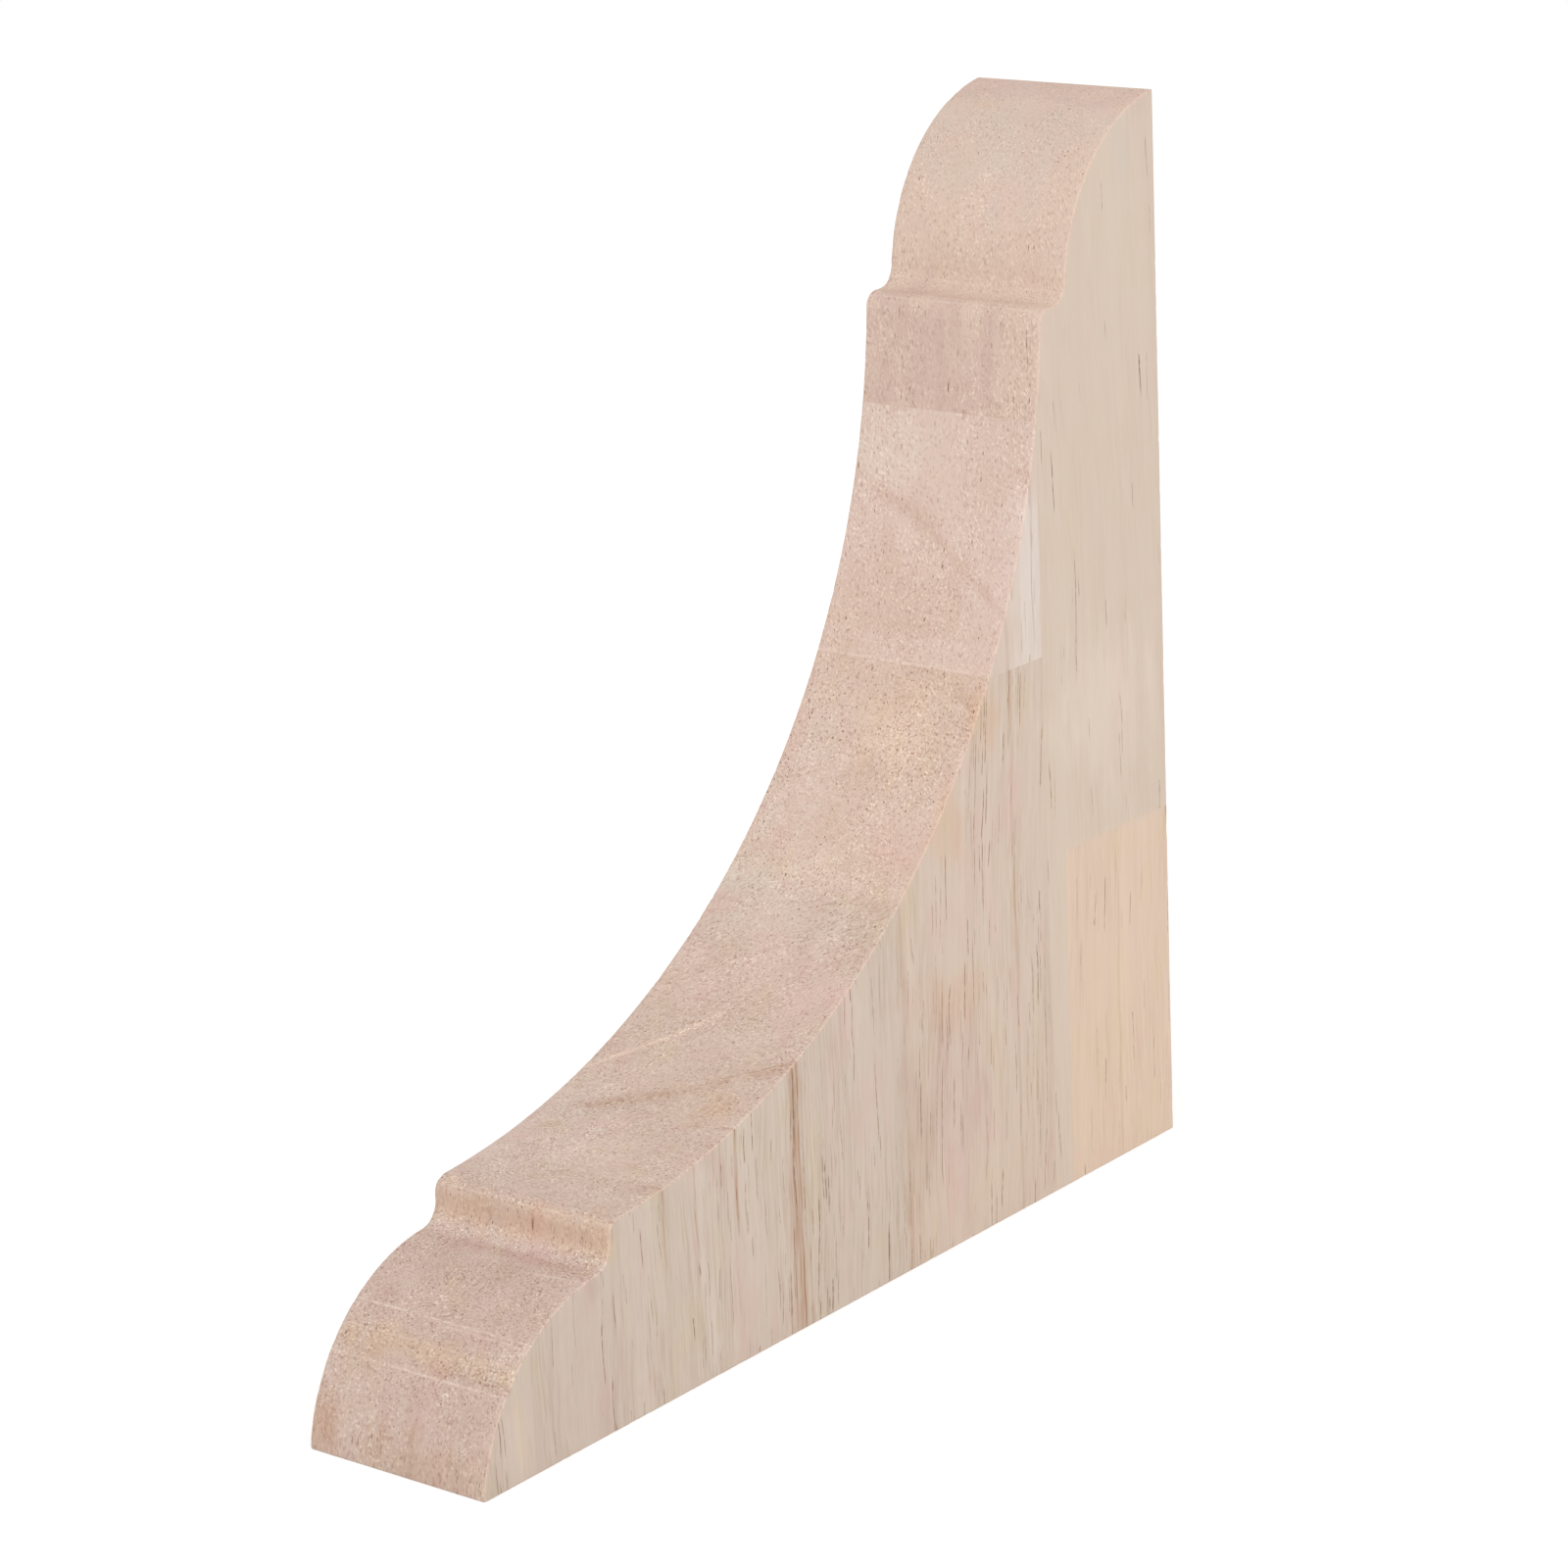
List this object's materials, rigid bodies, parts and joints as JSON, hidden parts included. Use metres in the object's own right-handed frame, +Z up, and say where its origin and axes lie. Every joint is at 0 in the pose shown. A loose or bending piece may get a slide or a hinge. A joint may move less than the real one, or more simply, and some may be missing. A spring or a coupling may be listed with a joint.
{
  "type": "corbel bracket",
  "caption": "Unfinished wooden corbel bracket with two flat faces at a right angle and a moulded nose, step and cove between their tips.",
  "frame": {"origin": "centre of the underside, which is the long flat shelf face it stands on", "axes": "+Z up, +X out of the wall face, Y across the thickness of the board"},
  "size_m": [0.197, 0.0382, 0.197],
  "materials": {
    "wood": "bare pale hardwood, glued up from staves, sanded flat sides and a rougher routed edge"
  },
  "bodies": {
    "root": {"corbel": "wood"}
  },
  "joints": []
}
